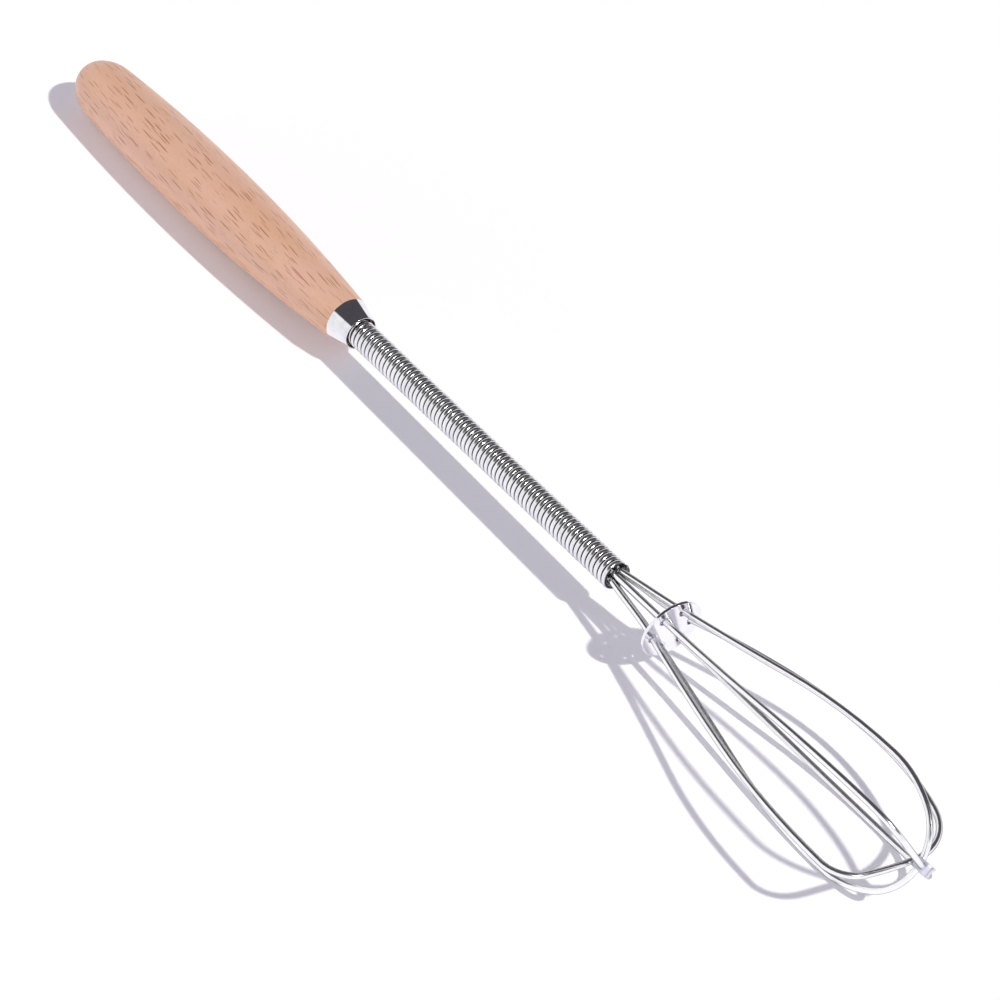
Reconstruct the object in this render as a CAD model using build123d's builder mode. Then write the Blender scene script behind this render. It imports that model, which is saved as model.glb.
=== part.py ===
from build123d import *
import os
from dataclasses import dataclass
from math import asin, atan2, cos, degrees, pi, radians, sin, sqrt

# A balloon whisk: a turned beech handle, a shaft wrapped in wire, a spreader disc and three wire loops.
# Everything is in millimetres. The whisk lies on a flat surface at Z = 0, as it rests by itself.
# +X runs from the handle to the tip, +Z is up, and the origin is the middle of its footprint.
# Places along the shaft are measured from the joint of handle and ferrule, towards the tip.
# Clock angles go round the shaft, from 0 at the +Y side to 90 at the top.

# Handle
handle_length = 103.8
neck_diameter = 10.6
belly_diameter = 16.5
belly_to_joint = 57.0
butt_dome_length = 8.8
butt_dome_diameter = 14.0
tenon_length = 4.2
tenon_slack = 0.05
coil_pocket_depth = 8.0
pocket_slack = 0.25
bundle_hole_depth = 34.0
bundle_hole_slack = 0.15

# Ferrule
ferrule_length = 6.2
ferrule_mouth_diameter = 7.7
ferrule_wall = 0.4
ferrule_lip_length = 0.8

# Wrapped wire of the shaft
coil_wire = 0.9
coil_diameter = 6.5
coil_pitch = 1.35
coil_turns = 76
coil_end_from_joint = 96.9
coil_end_angle = 35
least_coil_gap = 0.4

# Loop wires
loop_wire = 1.4
bundle_radius = 1.45
mouth_bundle_radius = 1.62
mouth_bend_length = 2.0
wire_end_clearance = 2.0
stack_slack = 0.08

# Spreader disc
disc_from_joint = 114.2
disc_diameter = 14.5
disc_thickness = 0.7
disc_tilt_angle = 7
disc_lean_angle = -110
disc_edge_round = 0.15
hole_count = 6
hole_diameter = 2.4
hole_circle_radius = 4.7
first_hole_angle = 3.6
wire_in_hole_radius = 4.7
flare_share = 1.34

# Balloon. Each loop has two legs, numbered by their holes in the disc.
# A leg is given by the distance from the disc to its widest place, its bulge there and its clock angle.
crossing_from_disc = 76.0
leg_0_widest = 45.8
leg_0_bulge = 17.0
leg_0_angle = -8.9
leg_1_widest = 59.3
leg_1_bulge = 13.15
leg_1_angle = 55.9
leg_2_widest = 69.0
leg_2_bulge = 15.1
leg_2_angle = 118
leg_3_widest = 68.2
leg_3_bulge = 17.6
leg_3_angle = 171.2
leg_4_widest = 58.8
leg_4_bulge = 14.9
leg_4_angle = -122.1
leg_5_widest = 57.8
leg_5_bulge = 14.95
leg_5_angle = -56.7

# Tip clip
clip_width = 2.5
clip_thickness = 2.4
clip_angle = 39
clip_wall = 0.3
clip_slack = 0.1
clip_tail_length = 1.0
clip_tail_width = 3.1
clip_tail_thickness = 0.8
clip_notch_depth = 0.7

# Adhesive in the blind end of the bore
adhesive_length = 10.0

# Values that follow from the sizes above
neck_radius = neck_diameter / 2
belly_radius = belly_diameter / 2
butt_dome_radius = butt_dome_diameter / 2
mouth_radius = ferrule_mouth_diameter / 2
coil_radius = (coil_diameter - coil_wire) / 2
pocket_radius = coil_diameter / 2 + pocket_slack
wire_radius = loop_wire / 2
bundle_hole_radius = bundle_radius + wire_radius + bundle_hole_slack
wire_end_depth = bundle_hole_depth - wire_end_clearance
wire_stack = loop_wire + stack_slack
inner_crossing = disc_from_joint + crossing_from_disc


@dataclass
class Leg:
    """One side of a loop: its hole in the disc, and where, how far and at which clock angle it bulges."""

    hole: int
    widest: float
    bulge: float
    clock: float


@dataclass
class Loop:
    """One bent wire: where it crosses the shaft's axis, and its two legs."""

    crossing: float
    legs: tuple


inner_loop = Loop(
    crossing=inner_crossing,
    legs=(
        Leg(3, disc_from_joint + leg_3_widest, leg_3_bulge, leg_3_angle),
        Leg(0, disc_from_joint + leg_0_widest, leg_0_bulge, leg_0_angle),
    ),
)
middle_loop = Loop(
    crossing=inner_crossing + wire_stack,
    legs=(
        Leg(1, disc_from_joint + leg_1_widest, leg_1_bulge, leg_1_angle),
        Leg(4, disc_from_joint + leg_4_widest, leg_4_bulge, leg_4_angle),
    ),
)
outer_loop = Loop(
    crossing=inner_crossing + 2 * wire_stack,
    legs=(
        Leg(2, disc_from_joint + leg_2_widest, leg_2_bulge, leg_2_angle),
        Leg(5, disc_from_joint + leg_5_widest, leg_5_bulge, leg_5_angle),
    ),
)
loops = {"loop_wire_inner": inner_loop, "loop_wire_middle": middle_loop, "loop_wire_outer": outer_loop}

# Rolling at rest: the whisk turns about its shaft until the two lowest legs are level.
left_foot = outer_loop.legs[1]
right_foot = middle_loop.legs[1]
left_angle = radians(left_foot.clock)
right_angle = radians(right_foot.clock)
foot_rise = right_foot.bulge * sin(right_angle) - left_foot.bulge * sin(left_angle)
foot_span = left_foot.bulge * cos(left_angle) - right_foot.bulge * cos(right_angle)
roll = degrees(atan2(foot_rise, foot_span))

# Pitch at rest: the handle's belly and those two legs stand on the surface.
butt_dome_start = handle_length - butt_dome_length
belly_fall = belly_radius - butt_dome_radius
belly_arc_radius = ((butt_dome_start - belly_to_joint) ** 2 + belly_fall**2) / (2 * belly_fall)
foot_height = wire_radius - left_foot.bulge * sin(radians(left_foot.clock + roll))
feet_from_joint = (left_foot.widest + right_foot.widest) / 2
feet_from_belly = feet_from_joint + belly_to_joint
first_pitch = asin((foot_height - belly_radius) / feet_from_belly)
belly_rise = (belly_arc_radius - belly_radius) * (1 - cos(first_pitch))
pitch = asin((foot_height - belly_radius - belly_rise) / feet_from_belly)
belly_height = belly_radius + belly_rise

# The joint's place: the footprint's middle is over the origin.
clip_start = inner_crossing - wire_radius - clip_slack - clip_wall
clip_body_end = outer_loop.crossing + wire_radius + clip_slack + clip_wall
clip_end = clip_body_end + clip_tail_length
leg_sides = [leg.bulge * cos(radians(leg.clock + roll)) for loop in loops.values() for leg in loop.legs]
shaft = Plane(
    origin=(
        (handle_length - clip_end) / 2 * cos(pitch),
        -(max(leg_sides) + min(leg_sides)) / 2,
        belly_height + belly_to_joint * sin(pitch),
    ),
    x_dir=(cos(pitch), 0, sin(pitch)),
    z_dir=(0, -1, 0),
)
along = shaft.x_dir
shaft_axis = Axis(shaft.origin, along)


def outward(clock):
    """Unit direction away from the shaft's axis at a clock angle."""
    return shaft.z_dir * -cos(radians(clock)) + shaft.y_dir * sin(radians(clock))


def spot(distance, radius, clock):
    """Point at a distance from the joint, a radius from the axis and a clock angle."""
    return shaft.origin + along * distance + outward(clock) * radius


def bend(start, start_heading, end, end_heading):
    """Two arcs that leave start along its heading, meet smoothly and reach end along its heading."""
    span = end - start
    forward = span.dot(start_heading + end_heading)
    turn = 2 * (start_heading.dot(end_heading) - 1)
    reach = span.dot(span) / (forward + sqrt(forward**2 - turn * span.dot(span)))
    first = start + start_heading * reach
    last = end - end_heading * reach
    middle = (first + last) * 0.5
    TangentArc(start, middle, tangent=start_heading)
    TangentArc(middle, end, tangent=last - first)


# The disc leans on its wires. In its plane, angles are clock angles too.
disc_normal = along * cos(radians(disc_tilt_angle)) + outward(disc_lean_angle) * sin(radians(disc_tilt_angle))
disc_plane = Plane(origin=spot(disc_from_joint, 0, 0), x_dir=outward(0), z_dir=disc_normal)


def hole_clock(hole):
    """Clock angle of one of the disc's holes, which its leg also keeps inside the shaft."""
    return first_hole_angle + roll + hole * 360 / hole_count


def disc_point(radius, clock):
    """Point in the middle plane of the leaning disc."""
    return disc_plane.from_local_coords((radius * cos(radians(clock)), radius * sin(radians(clock)), 0))


# Handle
ferrule_slope = (neck_radius - mouth_radius) / ferrule_length
tenon_root_radius = neck_radius - ferrule_wall - tenon_slack
tenon_end_radius = tenon_root_radius - tenon_length * ferrule_slope
with BuildPart() as handle:
    with BuildSketch(shaft):
        with BuildLine():
            belly = Vector(-belly_to_joint, belly_radius)
            neck = Vector(0, neck_radius)
            dome = Vector(-butt_dome_start, butt_dome_radius)
            butt = Vector(-handle_length, 0)
            TangentArc(belly, neck, tangent=(1, 0))
            TangentArc(belly, dome, tangent=(-1, 0))
            dome_angle = asin((butt_dome_start - belly_to_joint) / belly_arc_radius)
            bend(dome, Vector(-cos(dome_angle), -sin(dome_angle)), butt, Vector(0, -1))
            Polyline(
                neck,
                (0, tenon_root_radius),
                (tenon_length, tenon_end_radius),
                (tenon_length, pocket_radius),
                (-coil_pocket_depth, pocket_radius),
                (-coil_pocket_depth, bundle_hole_radius),
                (-bundle_hole_depth, bundle_hole_radius),
                (-bundle_hole_depth, 0),
                butt,
            )
        make_face()
    revolve(axis=shaft_axis)
handle.part.label = "handle"

# Ferrule
lip_start = ferrule_length - ferrule_lip_length
with BuildPart() as ferrule:
    with BuildSketch(shaft):
        with BuildLine():
            Polyline(
                (0, neck_radius),
                (ferrule_length, mouth_radius),
                (ferrule_length, pocket_radius),
                (lip_start, pocket_radius),
                (lip_start, neck_radius - ferrule_wall - lip_start * ferrule_slope),
                (0, neck_radius - ferrule_wall),
                close=True,
            )
        make_face()
    revolve(axis=shaft_axis)
ferrule.part.label = "ferrule"


# Wrapped wire: one helix, drawn as half turns
coil_start = coil_end_from_joint - coil_wire / 2 - coil_turns * coil_pitch


def coil_stop(turn):
    """Point and heading of the wrapped wire's centre line after so many turns."""
    clock = coil_end_angle + 360 * (turn - coil_turns)
    heading = along * coil_pitch + outward(clock + 90) * (2 * pi * coil_radius)
    return spot(coil_start + coil_pitch * turn, coil_radius, clock), heading.normalized()


with BuildPart() as coil_wrap:
    with BuildLine() as coil_path:
        first_point, first_heading = coil_stop(0)
        last_point, last_heading = coil_stop(coil_turns)
        Line(first_point - first_heading * coil_wire, first_point)
        for half_turn in range(2 * coil_turns):
            bend(*coil_stop(half_turn / 2), *coil_stop((half_turn + 1) / 2))
        Line(last_point, last_point + last_heading * coil_wire)
    with BuildSketch(Plane(origin=first_point - first_heading * coil_wire, z_dir=first_heading)):
        Circle(coil_wire / 2)
    sweep(path=coil_path.wire())
coil_wrap.part.label = "coil_wrap"

coil_points = [edge @ share for edge in coil_path.edges() for share in (0, 0.25, 0.5, 0.75)]
points_per_turn = len(coil_points) // coil_turns
coil_gap = min(
    (point - other).length - coil_wire
    for place, point in enumerate(coil_points)
    for other in coil_points[place + points_per_turn // 2 : place + 2 * points_per_turn]
)
print(f"coil: {coil_turns} turns, least gap to itself {coil_gap:.3f} mm, over {least_coil_gap} mm")


# Loop wires
def leg_knots(leg):
    """Points and headings of one leg's centre line, from the bore to its widest place."""
    clock = hole_clock(leg.hole)
    mean_slope = (leg.bulge - wire_in_hole_radius) / (leg.widest - disc_from_joint)
    flare = (along + outward(clock) * (flare_share * mean_slope)).normalized()
    mouth = spot(coil_end_from_joint, mouth_bundle_radius, clock)
    in_hole = disc_point(wire_in_hole_radius, clock)
    return [
        (spot(-wire_end_depth, bundle_radius, clock), along),
        (spot(coil_end_from_joint - mouth_bend_length, bundle_radius, clock), along),
        (mouth, (in_hole - mouth).normalized()),
        (in_hole, flare),
        (spot(leg.widest, leg.bulge, leg.clock + roll), along),
    ]


def crossing_heading(loop):
    """Direction in which a loop crosses the shaft's axis, from its first leg to its second."""
    first_leg, second_leg = loop.legs
    return (outward(second_leg.clock + roll) - outward(first_leg.clock + roll)).normalized()


loop_parts = {}
for name, loop in loops.items():
    going = leg_knots(loop.legs[0])
    coming = [(point, heading * -1) for point, heading in reversed(leg_knots(loop.legs[1]))]
    knots = going + [(spot(loop.crossing, 0, 0), crossing_heading(loop))] + coming
    with BuildPart() as loop_piece:
        with BuildLine() as loop_path:
            Line(knots[0][0], knots[1][0])
            for here, there in zip(knots[1:-2], knots[2:-1]):
                bend(*here, *there)
            Line(knots[-2][0], knots[-1][0])
        with BuildSketch(Plane(origin=knots[0][0], z_dir=along)):
            Circle(wire_radius)
        sweep(path=loop_path.wire())
    loop_piece.part.label = name
    loop_parts[name] = loop_piece.part
    wire_length = loop_path.wire().length
    volume_share = loop_piece.part.volume / (pi * wire_radius**2 * wire_length)
    print(f"{name}: length {wire_length:.1f} mm, volume share {volume_share:.4f}")

# Spreader disc
with BuildPart() as spreader_disc:
    with BuildSketch(disc_plane):
        Circle(disc_diameter / 2)
        with PolarLocations(hole_circle_radius, hole_count, start_angle=hole_clock(0)):
            Circle(hole_diameter / 2, mode=Mode.SUBTRACT)
    extrude(amount=disc_thickness / 2, both=True)
    rims = spreader_disc.edges().filter_by(GeomType.CIRCLE).group_by(SortBy.RADIUS)[-1]
    fillet(rims, radius=disc_edge_round)
spreader_disc.part.label = "spreader_disc"

# Tip clip: a flat block round the three crossing wires, and a thin notched tail
clip_plane = Plane(origin=shaft.origin, x_dir=along, z_dir=outward(clip_angle + 90))
with BuildPart() as tip_clip:
    with BuildSketch(clip_plane):
        with BuildLine():
            Polyline(
                (clip_start, clip_width / 2),
                (clip_body_end, clip_width / 2),
                (clip_body_end, -clip_width / 2),
                (clip_start, -clip_width / 2),
                close=True,
            )
        make_face()
    extrude(amount=clip_thickness / 2, both=True)
    with BuildSketch(clip_plane):
        with BuildLine():
            Polyline(
                (clip_body_end, clip_width / 2),
                (clip_end, clip_tail_width / 2),
                (clip_end - clip_notch_depth, 0),
                (clip_end, -clip_tail_width / 2),
                (clip_body_end, -clip_width / 2),
                close=True,
            )
        make_face()
    extrude(amount=clip_tail_thickness / 2, both=True)
    for loop in loops.values():
        with BuildSketch(Plane(origin=spot(loop.crossing, 0, 0), z_dir=crossing_heading(loop))):
            Circle(wire_radius + clip_slack)
        extrude(amount=clip_width + clip_thickness, both=True, mode=Mode.SUBTRACT)
tip_clip.part.label = "tip_clip"

# Adhesive: it fills the end of the bore round the six wire ends
adhesive_start = Plane(origin=spot(-bundle_hole_depth, 0, 0), x_dir=outward(0), z_dir=along)
with BuildPart() as bore_adhesive:
    with BuildSketch(adhesive_start):
        Circle(bundle_hole_radius)
    extrude(amount=adhesive_length)
    with BuildSketch(adhesive_start.offset(wire_end_clearance)):
        with PolarLocations(bundle_radius, hole_count, start_angle=hole_clock(0)):
            Circle(wire_radius)
    extrude(amount=adhesive_length, mode=Mode.SUBTRACT)
bore_adhesive.part.label = "bore_adhesive"

os.makedirs("parts", exist_ok=True)
export_step(handle.part, "parts/handle.step")
export_step(ferrule.part, "parts/ferrule.step")
export_step(coil_wrap.part, "parts/coil_wrap.step")
for name, loop_part in loop_parts.items():
    export_step(loop_part, f"parts/{name}.step")
export_step(spreader_disc.part, "parts/spreader_disc.step")
export_step(tip_clip.part, "parts/tip_clip.step")
export_step(bore_adhesive.part, "parts/bore_adhesive.step")
print(f"roll {roll:.2f} degrees, pitch {degrees(pitch):.2f} degrees, joint at {shaft.origin}")
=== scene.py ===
"""Looks for a slim balloon whisk: beech handle, steel ferrule, wrapped shaft, spreader disc and three wire loops."""

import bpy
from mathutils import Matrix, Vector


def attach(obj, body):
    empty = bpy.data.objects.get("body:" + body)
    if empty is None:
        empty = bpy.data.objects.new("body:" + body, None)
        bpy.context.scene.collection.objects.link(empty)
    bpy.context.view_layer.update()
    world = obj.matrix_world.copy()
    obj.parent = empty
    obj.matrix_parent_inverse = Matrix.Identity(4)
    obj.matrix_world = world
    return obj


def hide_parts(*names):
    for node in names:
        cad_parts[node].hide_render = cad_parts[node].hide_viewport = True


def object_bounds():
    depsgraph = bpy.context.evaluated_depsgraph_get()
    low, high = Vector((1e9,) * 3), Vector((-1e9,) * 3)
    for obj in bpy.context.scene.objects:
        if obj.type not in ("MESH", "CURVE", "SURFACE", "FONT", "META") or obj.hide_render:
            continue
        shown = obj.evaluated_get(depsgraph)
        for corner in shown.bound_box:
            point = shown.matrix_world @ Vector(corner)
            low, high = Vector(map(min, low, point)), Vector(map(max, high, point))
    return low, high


bl_info = {
    "name": "Balloon Whisk",
    "version": (1, 0, 0),
    "blender": (4, 5, 0),
    "location": "View3D > Sidebar > Whisk",
    "description": "Dresses the whisk's frame with its wood, its steels and its own ferrule, shaft coil and tip clip",
    "category": "Add Mesh",
}

from math import cos, pi, radians, sin, tau

import bmesh
import bpy
from bpy.props import FloatProperty, FloatVectorProperty, IntProperty, PointerProperty
from mathutils import Matrix, Vector

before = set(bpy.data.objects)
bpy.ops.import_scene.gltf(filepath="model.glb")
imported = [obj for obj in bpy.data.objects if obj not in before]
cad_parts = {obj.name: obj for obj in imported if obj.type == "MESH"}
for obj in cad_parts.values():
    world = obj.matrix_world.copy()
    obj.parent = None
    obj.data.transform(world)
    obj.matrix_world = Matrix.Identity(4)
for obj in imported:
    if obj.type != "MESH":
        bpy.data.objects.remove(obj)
cad_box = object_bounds()
body = "root"


class WhiskShaftSettings(bpy.types.PropertyGroup):
    """Where the shaft lies, and the wire that is wrapped round it."""

    joint: FloatVectorProperty(
        name="Joint",
        description="Where the shaft's axis meets the joint of handle and ferrule",
        default=(-0.0457197, 0.0002985, 0.0095963),
        subtype="TRANSLATION",
        unit="LENGTH",
    )
    pitch: FloatProperty(
        name="Pitch",
        description="How much the shaft rises towards the tip",
        default=radians(1.2168),
        subtype="ANGLE",
    )
    coil_diameter: FloatProperty(
        name="Coil Diameter", description="Outside of the wrapped wire", default=0.0065, unit="LENGTH"
    )
    coil_pitch: FloatProperty(
        name="Coil Pitch", description="Length of shaft that one turn takes", default=0.00135, unit="LENGTH"
    )
    coil_wire_width: FloatProperty(
        name="Coil Wire Width", description="Wire's size along the shaft", default=0.00131, unit="LENGTH"
    )
    coil_wire_depth: FloatProperty(
        name="Coil Wire Depth", description="Wire's size away from the shaft", default=0.00108, unit="LENGTH"
    )
    coil_turns: IntProperty(name="Coil Turns", description="Whole turns of the wrapped wire", default=76)
    coil_end: FloatProperty(
        name="Coil End", description="Where the wrapped wire ends, from the joint", default=0.0969, unit="LENGTH"
    )
    coil_end_clock: FloatProperty(
        name="Coil End Clock",
        description="Clock angle of the wrapped wire's end",
        default=radians(35),
        subtype="ANGLE",
    )


class WhiskFerruleSettings(bpy.types.PropertyGroup):
    """Sizes of the tapered ferrule."""

    length: FloatProperty(name="Length", description="Length along the shaft", default=0.0055, unit="LENGTH")
    neck_diameter: FloatProperty(
        name="Neck Diameter", description="Outside at the handle", default=0.0106, unit="LENGTH"
    )
    mouth_diameter: FloatProperty(
        name="Mouth Diameter", description="Outside at the coil", default=0.0081, unit="LENGTH"
    )
    wall: FloatProperty(name="Wall", description="Thickness of the drawn sheet", default=0.0003, unit="LENGTH")


class WhiskClipSettings(bpy.types.PropertyGroup):
    """Sizes of the pressed clip at the tip."""

    clock: FloatProperty(
        name="Clock", description="Clock angle that the clip faces", default=radians(129), subtype="ANGLE"
    )
    start: FloatProperty(name="Start", description="Its near end, from the joint", default=0.191, unit="LENGTH")
    length: FloatProperty(name="Length", description="Length along the shaft", default=0.0042, unit="LENGTH")
    waist: FloatProperty(name="Waist", description="Width at the near end", default=0.0024, unit="LENGTH")
    tail: FloatProperty(name="Tail", description="Width at the notched end", default=0.0026, unit="LENGTH")
    aside: FloatProperty(
        name="Aside", description="How far it sits aside of the shaft's axis", default=0.0002, unit="LENGTH"
    )
    lift: FloatProperty(name="Lift", description="How far it sits in front of the axis", default=0.0003, unit="LENGTH")
    depth: FloatProperty(name="Depth", description="Thickness over the wires", default=0.0023, unit="LENGTH")
    tail_depth: FloatProperty(name="Tail Depth", description="Thickness at its end", default=0.0009, unit="LENGTH")


class WhiskColourSettings(bpy.types.PropertyGroup):
    """Colours of the wood, the adhesive and the steel of ferrule and shaft."""

    beech: FloatVectorProperty(
        name="Beech", description="Main colour of the wood", default=(0.73, 0.442, 0.312), subtype="COLOR", min=0, max=1
    )
    beech_warm: FloatVectorProperty(
        name="Warm Beech",
        description="Warmer streaks of the wood",
        default=(0.705, 0.403, 0.245),
        subtype="COLOR",
        min=0,
        max=1,
    )
    beech_fleck: FloatVectorProperty(
        name="Fleck", description="Short dark flecks", default=(0.37, 0.14, 0.05), subtype="COLOR", min=0, max=1
    )
    steel: FloatVectorProperty(
        name="Steel", description="Polished steel", default=(0.86, 0.86, 0.885), subtype="COLOR", min=0, max=1
    )
    adhesive: FloatVectorProperty(
        name="Adhesive", description="Set resin in the bore", default=(0.46, 0.32, 0.11), subtype="COLOR", min=0, max=1
    )


class WhiskStageSettings(bpy.types.PropertyGroup):
    """Camera, floor and light."""

    camera_place: FloatVectorProperty(
        name="Camera Place",
        description="Where the camera stands",
        default=(0.53962202, -0.43384228, 0.65267094),
        subtype="TRANSLATION",
        unit="LENGTH",
    )
    camera_target: FloatVectorProperty(
        name="Camera Target",
        description="Point at the middle of the picture",
        default=(0.01635526, -0.00396721, 0.00797689),
        subtype="TRANSLATION",
        unit="LENGTH",
    )
    camera_roll: FloatProperty(
        name="Camera Roll", description="Tilt of the picture", default=radians(4.5999), subtype="ANGLE"
    )
    lens: FloatProperty(name="Lens", description="Focal length on a 36 mm sensor", default=162.0)
    sun_direction: FloatVectorProperty(
        name="Sun Direction", description="Way that the light travels", default=(-0.832, -0.255, -1.0), subtype="XYZ"
    )
    sun_spread: FloatProperty(
        name="Sun Spread", description="How wide the light looks", default=radians(2.2), subtype="ANGLE"
    )
    sun_strength: FloatProperty(name="Sun Strength", description="Strength of the sun lamp", default=2.5)
    sky_colour: FloatVectorProperty(
        name="Sky Colour",
        description="Light that fills the shadows",
        default=(0.332, 0.32, 0.402),
        subtype="COLOR",
        min=0,
        max=1,
    )
    side_strength: FloatProperty(name="Side Strength", description="Strength of the low side light", default=4.2)
    side_colour: FloatVectorProperty(
        name="Side Colour",
        description="Low light from the side away from the sun",
        default=(1.0, 0.93, 0.95),
        subtype="COLOR",
        min=0,
        max=1,
    )


class WhiskSettings(bpy.types.PropertyGroup):
    """All settings of the whisk."""

    shaft: PointerProperty(type=WhiskShaftSettings)
    ferrule: PointerProperty(type=WhiskFerruleSettings)
    clip: PointerProperty(type=WhiskClipSettings)
    colours: PointerProperty(type=WhiskColourSettings)
    stage: PointerProperty(type=WhiskStageSettings)


def settings():
    """The scene's whisk settings."""
    return bpy.context.scene.whisk


def shaft_matrix():
    """Turns shaft coordinates into scene ones: X runs to the tip from the joint, Y is clock angle 0 and Z is 90."""
    shaft = settings().shaft
    return Matrix.Translation(shaft.joint) @ Matrix.Rotation(-shaft.pitch, 4, "Y")


def new_piece(name, bm, smooth_angle=None):
    """Puts a finished bmesh into the scene as an object at the origin."""
    bmesh.ops.remove_doubles(bm, verts=bm.verts, dist=1e-7)
    bmesh.ops.recalc_face_normals(bm, faces=bm.faces)
    mesh = bpy.data.meshes.new(name)
    bm.to_mesh(mesh)
    bm.free()
    piece = bpy.data.objects.new(name, mesh)
    bpy.context.scene.collection.objects.link(piece)
    mesh.shade_smooth()
    if smooth_angle is not None:
        mesh.set_sharp_from_angle(angle=smooth_angle)
    return piece


def dress(piece, *materials):
    """Gives an object its materials, in order."""
    slots = piece.data.materials
    while len(slots) < len(materials):
        slots.append(None)
    for place, material in enumerate(materials):
        piece.material_slots[place].material = material


# Nodes of the materials and the world


def add_node(tree, kind, inputs=None, **settings_of_node):
    """A new node with its own settings and the values or links of its inputs."""
    node = tree.nodes.new(kind)
    for key, value in settings_of_node.items():
        setattr(node, key, value)
    for key, value in (inputs or {}).items():
        if isinstance(value, bpy.types.NodeSocket):
            tree.links.new(value, node.inputs[key])
        else:
            node.inputs[key].default_value = value
    return node


def calculate(tree, operation, *values):
    """The output of a Math node."""
    return add_node(tree, "ShaderNodeMath", dict(enumerate(values)), operation=operation).outputs[0]


def remap(tree, value, low, high, to_low=0.0, to_high=1.0):
    """The output of a smooth Map Range node."""
    node = add_node(
        tree,
        "ShaderNodeMapRange",
        {"Value": value, "From Min": low, "From Max": high, "To Min": to_low, "To Max": to_high},
        interpolation_type="SMOOTHSTEP",
    )
    return node.outputs["Result"]


def noise(tree, vector, scale, detail, roughness=0.5):
    """The output of a Noise Texture node."""
    inputs = {"Vector": vector, "Scale": scale, "Detail": detail, "Roughness": roughness}
    return add_node(tree, "ShaderNodeTexNoise", inputs).outputs["Fac"]


def mix_colours(tree, mask, first, second):
    """The first colour where the mask is 0 and the second where it is 1; each is a socket or three numbers."""
    first, second = (
        colour if isinstance(colour, bpy.types.NodeSocket) else (*colour, 1.0) for colour in (first, second)
    )
    return add_node(tree, "ShaderNodeMix", {0: mask, 6: first, 7: second}, data_type="RGBA").outputs[2]


def stretched(tree, vector, scale):
    """Coordinates times a scale for each axis."""
    return add_node(tree, "ShaderNodeVectorMath", {0: vector, 1: scale}, operation="MULTIPLY").outputs[0]


def nearness(tree, vector, direction):
    """How close a vector points to a direction: 1 along it and 0 square to it."""
    return add_node(tree, "ShaderNodeVectorMath", {0: vector, 1: direction}, operation="DOT_PRODUCT").outputs["Value"]


def along_shaft(tree):
    """Object coordinates turned so that X runs along the shaft, in metres."""
    shaft = settings().shaft
    place = add_node(tree, "ShaderNodeTexCoord").outputs["Object"]
    mapping = add_node(
        tree,
        "ShaderNodeMapping",
        {"Vector": place, "Location": tuple(shaft.joint), "Rotation": (0.0, -shaft.pitch, 0.0)},
        vector_type="TEXTURE",
    )
    return mapping.outputs["Vector"]


def seen_directly(tree):
    """1 for what the camera sees, also in a mirror or through glass, and 0 for other light."""
    path = add_node(tree, "ShaderNodeLightPath").outputs
    mirrored = calculate(tree, "MAXIMUM", path["Is Camera Ray"], path["Is Glossy Ray"])
    return calculate(tree, "MAXIMUM", mirrored, path["Is Transmission Ray"])


def new_group(name, inputs, outputs):
    """An empty shader node group with named number inputs, and its input and output nodes."""
    group = bpy.data.node_groups.new(name, "ShaderNodeTree")
    for label, value in inputs.items():
        socket = group.interface.new_socket(name=label, in_out="INPUT", socket_type="NodeSocketFloat")
        socket.default_value = value
    for label in outputs:
        group.interface.new_socket(name=label, in_out="OUTPUT", socket_type="NodeSocketFloat")
    return group, group.nodes.new("NodeGroupInput").outputs, group.nodes.new("NodeGroupOutput").inputs


def new_material(name):
    """A material, and its node tree with no nodes in it."""
    material = bpy.data.materials.new(name)
    material.use_nodes = True
    material.node_tree.nodes.clear()
    return material, material.node_tree


def add_surface(tree, inputs):
    """Gives a material its Principled shader."""
    shader = add_node(tree, "ShaderNodeBsdfPrincipled", inputs)
    add_node(tree, "ShaderNodeOutputMaterial", {"Surface": shader.outputs["BSDF"]})


# Materials


def steel_wear_group():
    """Handling marks of bright steel: smudges, and fine drawing lines along the shaft."""
    name = "Steel Handling Marks"
    if name in bpy.data.node_groups:
        return bpy.data.node_groups[name]
    line_stretch = (0.03, 1.0, 1.0)
    line_roughness = 0.04
    group, given, result = new_group(
        name,
        {"Smudge Size": 0.004, "Line Size": 0.0002, "Polish": 0.06, "Smudge": 0.1},
        ("Roughness", "Tint", "Height"),
    )
    place = along_shaft(group)
    smudge_scale = calculate(group, "DIVIDE", 1.0, given["Smudge Size"])
    line_scale = calculate(group, "DIVIDE", 1.0, given["Line Size"])
    smudges = noise(group, place, smudge_scale, detail=4.0, roughness=0.62)
    lines = noise(group, stretched(group, place, line_stretch), line_scale, detail=2.0)
    patches = remap(group, smudges, 0.42, 0.72)
    rough = calculate(group, "MULTIPLY_ADD", patches, given["Smudge"], given["Polish"])
    group.links.new(calculate(group, "MULTIPLY_ADD", lines, line_roughness, rough), result["Roughness"])
    group.links.new(patches, result["Tint"])
    group.links.new(lines, result["Height"])
    return group


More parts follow.
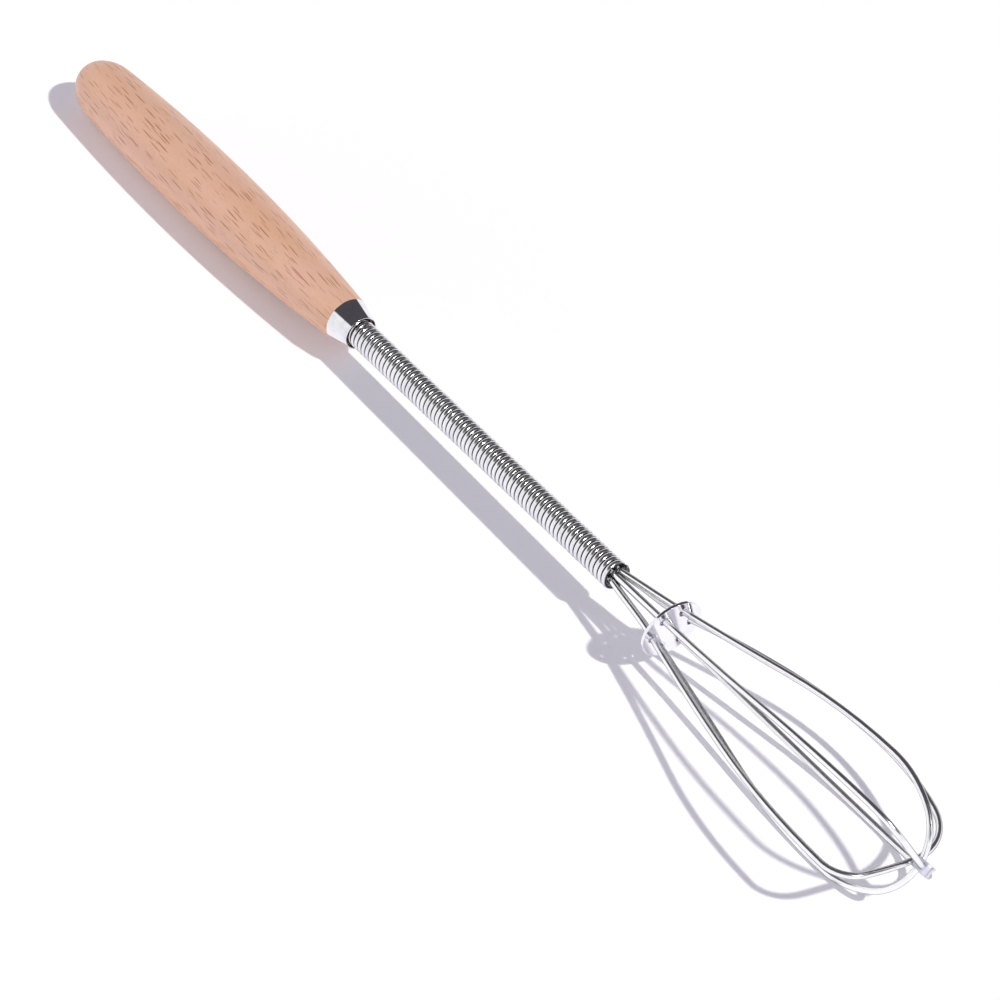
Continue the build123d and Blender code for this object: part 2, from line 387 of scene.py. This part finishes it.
def crease_shade_mask(tree):
    """Painted shade: 1 in the grooves between the turns of the wrapped wire, where shade falls, and 0 on the wire."""
    crease_shade_start, crease_shade_full = 0.3, 0.46  # Shares of a turn, from the middle of the wire
    shaft = settings().shaft
    place = add_node(tree, "ShaderNodeSeparateXYZ", {"Vector": along_shaft(tree)}).outputs
    clock = calculate(tree, "ARCTAN2", place["Z"], place["Y"])
    wound = calculate(tree, "DIVIDE", calculate(tree, "SUBTRACT", clock, shaft.coil_end_clock), tau)
    last_turn = shaft.coil_end - shaft.coil_wire_width / 2
    turns = calculate(tree, "DIVIDE", calculate(tree, "SUBTRACT", place["X"], last_turn), shaft.coil_pitch)
    phase = calculate(tree, "FRACT", calculate(tree, "ADD", calculate(tree, "SUBTRACT", turns, wound), 0.5))
    aside = calculate(tree, "ABSOLUTE", calculate(tree, "SUBTRACT", phase, 0.5))
    return remap(tree, aside, crease_shade_start, crease_shade_full)


def steel_material(name, colour, dull, polish, smudge, line_size, bump, metal=1.0, rim_reflection_share=0.0, crease_shade=False):
    """Bright steel: its colour clean and smudged, its handling marks, a painted dark reflection along its rims, and
    painted shade in the grooves between the turns of a wound wire.
    """
    relief_depth = 0.00002
    # Painted shade for the grooves between the turns of the wound wire
    crease_shade_colour = (0.05, 0.05, 0.055)
    # Painted dark reflection along the rims of a wire, darker as they turn away from view
    rim_reflection_colour = (0.14, 0.135, 0.15)
    rim_reflection_start, rim_reflection_full = 0.4, 0.72
    material, tree = new_material(name)
    marks = add_node(
        tree,
        "ShaderNodeGroup",
        {"Polish": polish, "Smudge": smudge, "Line Size": line_size},
        node_tree=steel_wear_group(),
    ).outputs
    relief = add_node(tree, "ShaderNodeBump", {"Height": marks["Height"], "Strength": bump, "Distance": relief_depth})
    face = mix_colours(tree, marks["Tint"], colour, dull)
    # Painted shade in the grooves between the turns
    if crease_shade:
        face = mix_colours(tree, crease_shade_mask(tree), face, crease_shade_colour)
    # Painted dark reflection: rims darker by how far they face away from view
    if rim_reflection_share:
        facing = add_node(tree, "ShaderNodeLayerWeight", {"Blend": 0.5}).outputs["Facing"]
        face = mix_colours(tree, remap(tree, facing, rim_reflection_start, rim_reflection_full, 0.0, rim_reflection_share), face, rim_reflection_colour)
    inputs = {"Base Color": face, "Metallic": metal, "Roughness": marks["Roughness"]}
    add_surface(tree, {**inputs, "Normal": relief.outputs["Normal"]})
    return material


def fleck_group():
    """Ray flecks of beech: thin cells along the grain, set round the handle, each with its own size and strength."""
    handle_radius = 0.0075
    slant = -0.06  # Drift round the handle for each length of it
    smallest, faintest = 0.6, 0.5
    core = 0.6  # Part of a fleck that has its full strength
    group, given, result = new_group(
        "Beech Flecks",
        {"Length": 0.006, "Width": 0.0011, "Reach": 0.3, "Bare Share": 0.5},
        ("Mask",),
    )
    parts = add_node(group, "ShaderNodeSeparateXYZ", {"Vector": along_shaft(group)}).outputs
    clock = calculate(group, "ARCTAN2", calculate(group, "MULTIPLY", parts["Y"], -1.0), parts["Z"])
    around = calculate(group, "MULTIPLY", clock, handle_radius)
    crosswise = calculate(group, "MULTIPLY_ADD", parts["X"], slant, around)
    flat_place = add_node(
        group,
        "ShaderNodeCombineXYZ",
        {
            "X": calculate(group, "DIVIDE", parts["X"], given["Length"]),
            "Y": calculate(group, "DIVIDE", crosswise, given["Width"]),
        },
    ).outputs[0]
    cells = add_node(
        group,
        "ShaderNodeTexVoronoi",
        {"Vector": flat_place, "Scale": 1.0, "Randomness": 1.0},
        feature="F1",
        voronoi_dimensions="2D",
    ).outputs
    luck = add_node(group, "ShaderNodeSeparateColor", {"Color": cells["Color"]}).outputs
    reach = calculate(group, "MULTIPLY", remap(group, luck["Blue"], 0.0, 1.0, smallest, 1.0), given["Reach"])
    mask = remap(group, cells["Distance"], reach, calculate(group, "MULTIPLY", reach, core))
    weighted = calculate(group, "MULTIPLY", mask, remap(group, luck["Green"], 0.0, 1.0, faintest, 1.0))
    shown = calculate(group, "GREATER_THAN", luck["Red"], given["Bare Share"])
    group.links.new(calculate(group, "MULTIPLY", weighted, shown), result["Mask"])
    return group


def beech_material():
    """Turned beech, sealed with a thin satin oil: warm streaks, short dark flecks and fine pores."""
    long_fleck = {"Length": 0.0115, "Width": 0.00068, "Reach": 0.26, "Bare Share": 0.05}
    short_fleck = {"Length": 0.007, "Width": 0.0006, "Reach": 0.18, "Bare Share": 0.5}
    long_strength, short_strength = 0.9, 0.45
    grain_scale, broad_scale, pore_scale = (22.0, 240.0, 240.0), (18.0, 90.0, 90.0), (900.0, 5200.0, 5200.0)
    grain_share, broad_share = 0.55, 0.45
    pore_strength, pore_height = 0.22, 0.35
    relief_depth = 0.00004
    colours = settings().colours
    material, tree = new_material("Sealed Beech")
    place = along_shaft(tree)
    flecks = fleck_group()
    long_mask, short_mask = (
        add_node(tree, "ShaderNodeGroup", sizes, node_tree=flecks).outputs["Mask"]
        for sizes in (long_fleck, short_fleck)
    )
    grain = noise(tree, stretched(tree, place, grain_scale), 1.0, detail=5.0, roughness=0.6)
    broad = noise(tree, stretched(tree, place, broad_scale), 1.0, detail=2.0)
    pores = noise(tree, stretched(tree, place, pore_scale), 1.0, detail=3.0)
    streaks = calculate(
        tree,
        "ADD",
        calculate(tree, "MULTIPLY", grain, grain_share),
        calculate(tree, "MULTIPLY", broad, broad_share),
    )
    wood = mix_colours(tree, remap(tree, streaks, 0.38, 0.62), colours.beech, colours.beech_warm)
    pored = mix_colours(tree, remap(tree, pores, 0.55, 0.75, 0.0, pore_strength), wood, colours.beech_fleck)
    softly = calculate(tree, "MULTIPLY", short_mask, short_strength)
    strongly = calculate(tree, "MULTIPLY", long_mask, long_strength)
    flecked = mix_colours(tree, calculate(tree, "MAXIMUM", softly, strongly), pored, colours.beech_fleck)
    height = calculate(tree, "SUBTRACT", calculate(tree, "MULTIPLY", pores, pore_height), strongly)
    relief = add_node(tree, "ShaderNodeBump", {"Height": height, "Strength": 0.2, "Distance": relief_depth})
    add_surface(
        tree,
        {
            "Base Color": flecked,
            "Roughness": remap(tree, pores, 0.3, 0.7, 0.46, 0.6),
            "Normal": relief.outputs["Normal"],
            "Coat Weight": 0.4,
            "Coat Roughness": 0.3,
        },
    )
    return material


def adhesive_material():
    """Set resin with small clouds in it, inside the bore."""
    cloud_scale = 900.0
    pale_factor = 1.5
    colour = settings().colours.adhesive
    pale = [min(1.0, part * pale_factor) for part in colour]
    material, tree = new_material("Set Resin")
    cloud = noise(tree, add_node(tree, "ShaderNodeTexCoord").outputs["Object"], cloud_scale, detail=3.0)
    roughness = remap(tree, cloud, 0.3, 0.7, 0.2, 0.4)
    add_surface(tree, {"Base Color": mix_colours(tree, cloud, colour, pale), "Roughness": roughness})
    return material


def floor_material():
    """White paper that keeps its shadows, lifted to full white only where it is seen directly."""
    paper = (0.925, 0.925, 0.925, 1.0)
    lift = 0.12
    material, tree = new_material("White Paper")
    add_surface(
        tree,
        {
            "Base Color": paper,
            "Roughness": 0.9,
            "Specular IOR Level": 0.0,
            "Emission Color": (1.0, 1.0, 1.0, 1.0),
            "Emission Strength": calculate(tree, "MULTIPLY", seen_directly(tree), lift),
        },
    )
    return material


def studio_world():
    """Soft fill light, and the room that bright steel shows: white, with one dark side overhead."""
    room_white, room_dark = (1.0, 1.0, 1.0), (0.075, 0.07, 0.08)
    dark_middle = (0.0, 0.305, 0.952)
    dark_edge, dark_full = 0.44, 0.485
    side_middle = (-0.66, -0.75, 0.0)
    side_edge, side_full = 0.2, 0.8
    low_full, low_edge = 0.05, 0.35  # Heights of the side light over the horizon
    stage = settings().stage
    world = bpy.data.worlds.new("Studio")
    world.use_nodes = True
    tree = world.node_tree
    tree.nodes.clear()
    direction = add_node(tree, "ShaderNodeTexCoord").outputs["Generated"]
    dark = remap(tree, nearness(tree, direction, dark_middle), dark_edge, dark_full)
    room = mix_colours(tree, dark, room_white, room_dark)
    sideways = remap(tree, nearness(tree, direction, side_middle), side_edge, side_full)
    height = add_node(tree, "ShaderNodeSeparateXYZ", {"Vector": direction}).outputs["Z"]
    side = calculate(tree, "MULTIPLY", sideways, remap(tree, height, low_full, low_edge, 1.0, 0.0))
    side_light = [part * stage.side_strength for part in stage.side_colour]
    sky = mix_colours(tree, side, stage.sky_colour, side_light)
    fill, shown = (
        add_node(tree, "ShaderNodeBackground", {"Color": colour, "Strength": 1.0}).outputs[0] for colour in (sky, room)
    )
    mix = add_node(tree, "ShaderNodeMixShader", {0: seen_directly(tree), 1: fill, 2: shown})
    add_node(tree, "ShaderNodeOutputWorld", {"Surface": mix.outputs[0]})
    return world


# Pieces


class WHISK_OT_handle(bpy.types.Operator):
    """Gives the turned handle its beech and the bore its resin"""

    bl_idname = "whisk.handle"
    bl_label = "Handle"

    def execute(self, context):
        dress(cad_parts["handle"], beech_material())
        dress(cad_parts["bore_adhesive"], adhesive_material())
        return {"FINISHED"}


class WHISK_OT_ferrule(bpy.types.Operator):
    """Makes the tapered ferrule with its rolled mouth"""

    bl_idname = "whisk.ferrule"
    bl_label = "Ferrule"

    def execute(self, context):
        sizes = settings().ferrule
        neck = sizes.neck_diameter / 2
        mouth = sizes.mouth_diameter / 2
        roll = sizes.wall / 2
        neck_edge = 0.00004
        inner_drop = 2.2 * sizes.wall
        taper_end = sizes.length - roll
        outline = [(0.0, neck - sizes.wall), (0.0, neck - neck_edge), (neck_edge, neck)]
        for share in (0.25, 0.5, 0.75, 1.0):
            outline.append((neck_edge + (taper_end - neck_edge) * share, neck + (mouth - neck) * share))
        for degrees in range(60, -91, -30):
            angle = radians(degrees)
            outline.append((taper_end + roll * cos(angle), mouth - roll + roll * sin(angle)))
        outline.append((sizes.length * 0.5, (neck + mouth) / 2 - inner_drop))
        bm = bmesh.new()
        verts = [bm.verts.new((x, 0.0, radius)) for x, radius in outline]
        edges = [bm.edges.new(pair) for pair in zip(verts, verts[1:])]
        bmesh.ops.spin(
            bm,
            geom=verts + edges,
            cent=(0, 0, 0),
            axis=(1, 0, 0),
            dvec=(0, 0, 0),
            angle=tau,
            steps=128,
            use_merge=True,
        )
        # Faces inside the mouth take the second material, a near-black painted shade
        for face in bm.faces:
            middle = face.calc_center_median()
            inside = middle.yz.length < mouth - roll and middle.x < taper_end
            face.material_index = int(inside)
        bmesh.ops.transform(bm, matrix=shaft_matrix(), verts=bm.verts)
        piece = new_piece("ferrule_shell", bm, smooth_angle=radians(30))
        outside_steel = steel_material(
            "Ferrule Steel",
            settings().colours.steel,
            dull=(0.74, 0.74, 0.77),
            polish=0.06,
            smudge=0.08,
            line_size=0.0004,
            bump=0.2,
        )
        # Painted shade: the inside of the ferrule is near-black, standing for the dark gap in its mouth
        inside_shade_steel = steel_material(
            "Ferrule Inside Shade",
            (0.06, 0.055, 0.06),
            dull=(0.03, 0.03, 0.03),
            polish=0.5,
            smudge=0.2,
            line_size=0.0004,
            bump=0.1,
        )
        dress(piece, outside_steel, inside_shade_steel)
        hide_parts("ferrule")
        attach(piece, body)
        return {"FINISHED"}


class WHISK_OT_shaft_coil(bpy.types.Operator):
    """Winds the wire round the shaft, turn against turn"""

    bl_idname = "whisk.shaft_coil"
    bl_label = "Shaft Coil"

    def execute(self, context):
        shaft = settings().shaft
        middle = (shaft.coil_diameter - shaft.coil_wire_depth) / 2
        steps_per_turn = 40
        wire_sides = 12
        start = shaft.coil_end - shaft.coil_wire_width / 2 - shaft.coil_turns * shaft.coil_pitch
        bm = bmesh.new()
        ring = bmesh.ops.create_circle(bm, segments=wire_sides, radius=0.5, cap_ends=True)
        bmesh.ops.scale(bm, vec=(shaft.coil_wire_width, shaft.coil_wire_depth, 1.0), verts=ring["verts"])
        stand = Matrix(((1, 0, 0), (0, 0, -1), (0, 1, 0))).to_4x4()
        turned = Matrix.Rotation(shaft.coil_end_clock - pi / 2, 4, "X")
        place = turned @ Matrix.Translation((start, 0.0, middle)) @ stand
        bmesh.ops.transform(bm, matrix=place, verts=bm.verts)
        cap = bm.faces[:]
        bmesh.ops.spin(
            bm,
            geom=bm.edges[:],
            cent=(0, 0, 0),
            axis=(1, 0, 0),
            dvec=(shaft.coil_pitch / steps_per_turn, 0, 0),
            angle=tau,
            steps=steps_per_turn,
            use_merge=False,
        )
        bmesh.ops.delete(bm, geom=cap, context="FACES_ONLY")
        one_turn = bm.verts[:] + bm.edges[:] + bm.faces[:]
        for turn in range(1, shaft.coil_turns):
            copied = bmesh.ops.duplicate(bm, geom=one_turn)["geom"]
            verts = [item for item in copied if isinstance(item, bmesh.types.BMVert)]
            bmesh.ops.translate(bm, vec=(shaft.coil_pitch * turn, 0, 0), verts=verts)
        bmesh.ops.remove_doubles(bm, verts=bm.verts, dist=1e-6)
        ends = [edge for edge in bm.edges if edge.is_boundary]
        bmesh.ops.holes_fill(bm, edges=ends, sides=0)
        bmesh.ops.transform(bm, matrix=shaft_matrix(), verts=bm.verts)
        piece = new_piece("shaft_coil", bm, smooth_angle=radians(60))
        steel = steel_material(
            "Shaft Wire Steel",
            settings().colours.steel,
            dull=(0.76, 0.76, 0.79),
            polish=0.19,
            smudge=0.06,
            line_size=0.0003,
            bump=0.1,
            # Painted shade between the turns of the coil
            crease_shade=True,
        )
        dress(piece, steel)
        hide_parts("coil_wrap")
        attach(piece, body)
        return {"FINISHED"}


class WHISK_OT_loops(bpy.types.Operator):
    """Gives the three loops their drawn wire"""

    bl_idname = "whisk.loops"
    bl_label = "Loops"

    def execute(self, context):
        wire = steel_material(
            "Loop Wire Steel",
            (0.96, 0.96, 0.97),
            dull=(0.88, 0.88, 0.91),
            polish=0.13,
            smudge=0.06,
            line_size=0.00016,
            bump=0.08,
            # Painted dark reflection along the wire's rims
            rim_reflection_share=0.9,
        )
        for node in ("loop_wire_inner", "loop_wire_middle", "loop_wire_outer"):
            dress(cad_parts[node], wire)
        return {"FINISHED"}


class WHISK_OT_disc(bpy.types.Operator):
    """Gives the spreader disc its mirror polish"""

    bl_idname = "whisk.disc"
    bl_label = "Spreader Disc"

    def execute(self, context):
        steel = steel_material(
            "Disc Steel",
            (0.91, 0.9, 0.95),
            dull=(0.84, 0.83, 0.89),
            polish=0.04,
            smudge=0.07,
            line_size=0.0005,
            bump=0.1,
        )
        dress(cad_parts["spreader_disc"], steel)
        return {"FINISHED"}


class WHISK_OT_clip(bpy.types.Operator):
    """Makes the pressed clip with its notched tail"""

    bl_idname = "whisk.clip"
    bl_label = "Tip Clip"

    def execute(self, context):
        clip = settings().clip
        waist = clip.waist / 2
        tail = clip.tail / 2
        front = clip.depth / 2
        tail_front = clip.tail_depth / 2
        corner = 0.0004
        corner_share = 0.8
        notch = clip.length - 0.0003
        edge_round = 0.00022
        stations = (
            (0.0, waist * corner_share, front),
            (corner, waist, front),
            (clip.length * 0.7, waist, front),
            (clip.length * 0.84, (waist + tail) / 2, tail_front),
        )
        rows = [[(x, side * share, z) for share in (-1, 0, 1)] for x, side, z in stations]
        rows.append([(clip.length, -tail, tail_front), (notch, 0, tail_front), (clip.length, tail, tail_front)])
        bm = bmesh.new()
        for sign in (1, -1):
            grid = [[bm.verts.new((x, y, z * sign)) for x, y, z in row] for row in rows]
            for near, far in zip(grid, grid[1:]):
                for left, right in ((0, 1), (1, 2)):
                    bm.faces.new((near[left], near[right], far[right], far[left]))
        rims = [edge for edge in bm.edges if edge.is_boundary]
        bmesh.ops.bridge_loops(bm, edges=rims)
        bmesh.ops.recalc_face_normals(bm, faces=bm.faces)
        sharp = [edge for edge in bm.edges if edge.calc_face_angle(0.0) > radians(40)]
        bmesh.ops.bevel(
            bm,
            geom=sharp,
            offset=edge_round,
            offset_type="OFFSET",
            segments=3,
            profile=0.5,
            affect="EDGES",
            material=-1,
        )
        turned = Matrix.Rotation(clip.clock - pi / 2, 4, "X")
        place = turned @ Matrix.Translation((clip.start, clip.aside, clip.lift))
        bmesh.ops.transform(bm, matrix=shaft_matrix() @ place, verts=bm.verts)
        piece = new_piece("tip_clip_plate", bm, smooth_angle=radians(35))
        steel = steel_material(
            "Clip Steel",
            (0.7, 0.7, 0.79),
            dull=(0.63, 0.63, 0.72),
            polish=0.36,
            smudge=0.1,
            line_size=0.0003,
            bump=0.2,
            metal=0.4,
        )
        dress(piece, steel)
        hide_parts("tip_clip")
        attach(piece, body)
        return {"FINISHED"}


class WHISK_OT_stage(bpy.types.Operator):
    """Sets up the floor, the light and the camera"""

    bl_idname = "whisk.stage"
    bl_label = "Stage"

    def execute(self, context):
        stage = settings().stage
        scene = context.scene
        scene.view_settings.view_transform = "Standard"
        floor_reach = 4.0
        bm = bmesh.new()
        bmesh.ops.create_grid(bm, x_segments=1, y_segments=1, size=floor_reach)
        bmesh.ops.translate(bm, vec=(0, 0, cad_box[0][2]), verts=bm.verts)
        floor = new_piece("floor", bm)
        dress(floor, floor_material())
        scene.world = studio_world()
        sun = bpy.data.lights.new("Sun", "SUN")
        sun.energy = stage.sun_strength
        sun.angle = stage.sun_spread
        sun.color = (1.0, 1.0, 0.95)
        lamp = bpy.data.objects.new("Sun", sun)
        lamp.rotation_euler = Vector(stage.sun_direction).to_track_quat("-Z", "Y").to_euler()
        scene.collection.objects.link(lamp)
        view = bpy.data.cameras.new("Camera")
        view.lens = stage.lens
        view.sensor_width = 36.0
        view.clip_start = 0.05
        view.clip_end = 20.0
        camera = bpy.data.objects.new("Camera", view)
        place = Vector(stage.camera_place)
        aim = (Vector(stage.camera_target) - place).to_track_quat("-Z", "Y").to_matrix().to_4x4()
        camera.matrix_world = Matrix.Translation(place) @ aim @ Matrix.Rotation(stage.camera_roll, 4, "Z")
        scene.collection.objects.link(camera)
        scene.camera = camera
        return {"FINISHED"}


class WHISK_PT_panel(bpy.types.Panel):
    """Lists the whisk's pieces and settings"""

    bl_idname = "WHISK_PT_panel"
    bl_label = "Balloon Whisk"
    bl_space_type = "VIEW_3D"
    bl_region_type = "UI"
    bl_category = "Whisk"

    def draw(self, context):
        whisk = context.scene.whisk
        for group in (whisk.shaft, whisk.ferrule, whisk.clip, whisk.colours, whisk.stage):
            box = self.layout.box()
            for key in group.__annotations__:
                box.prop(group, key)
        for operator in operators:
            self.layout.operator(operator.bl_idname)


operators = (
    WHISK_OT_handle,
    WHISK_OT_ferrule,
    WHISK_OT_shaft_coil,
    WHISK_OT_loops,
    WHISK_OT_disc,
    WHISK_OT_clip,
    WHISK_OT_stage,
)
classes = (
    WhiskShaftSettings,
    WhiskFerruleSettings,
    WhiskClipSettings,
    WhiskColourSettings,
    WhiskStageSettings,
    WhiskSettings,
    *operators,
    WHISK_PT_panel,
)


def register():
    for item in classes:
        bpy.utils.register_class(item)
    bpy.types.Scene.whisk = PointerProperty(type=WhiskSettings)


def unregister():
    del bpy.types.Scene.whisk
    for item in reversed(classes):
        bpy.utils.unregister_class(item)


def main():
    register()
    bpy.ops.whisk.handle()
    bpy.ops.whisk.ferrule()
    bpy.ops.whisk.shaft_coil()
    bpy.ops.whisk.loops()
    bpy.ops.whisk.disc()
    bpy.ops.whisk.clip()
    bpy.ops.whisk.stage()


if __name__ == "__main__":
    main()
